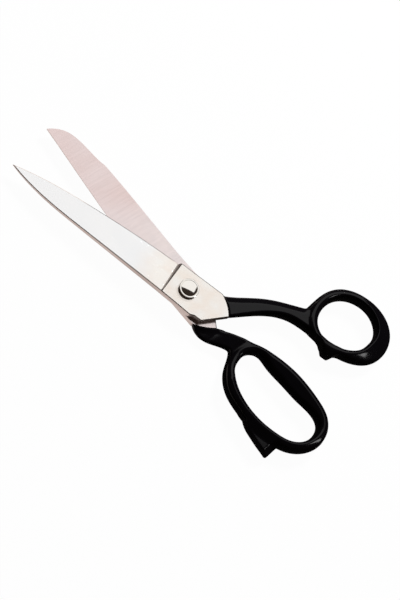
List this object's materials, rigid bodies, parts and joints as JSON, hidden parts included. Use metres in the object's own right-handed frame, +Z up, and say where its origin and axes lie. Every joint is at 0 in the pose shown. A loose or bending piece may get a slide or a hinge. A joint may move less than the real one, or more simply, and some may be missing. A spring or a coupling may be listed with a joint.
{
  "type": "fabric shears",
  "caption": "Bent-handle fabric shears: a narrow upper and a broad lower steel blade on a pivot screw, with enamelled oval and long finger bows and a stop lug.",
  "frame": {"origin": "on the pivot axis, where the flat end of the pivot screw and the lock nut rest on the table", "axes": "+X from the blade tips towards the handles, along the line midway between the halves; +Y towards the thumb bow; +Z up, out of the screw's head"},
  "size_m": [0.2534, 0.1278, 0.0133],
  "materials": {
    "ground_steel": "ground and polished carbon steel",
    "black_enamel": "glossy baked black enamel on a casting",
    "plated_steel": "bright nickel plate"
  },
  "bodies": {
    "finger_half": {"finger_blade": "ground_steel", "finger_handle": "black_enamel", "pivot_screw": "plated_steel", "head_washer": "plated_steel", "lock_washer": "plated_steel", "lock_nut": "plated_steel"},
    "thumb_half": {"thumb_blade": "ground_steel", "thumb_handle": "black_enamel"}
  },
  "joints": [
    {"name": "pivot", "type": "hinge", "parent": "finger_half", "child": "thumb_half", "pos_m": [0, 0, 0.00866], "axis": [0, 0, 1], "range_deg": [-15, 105]}
  ]
}
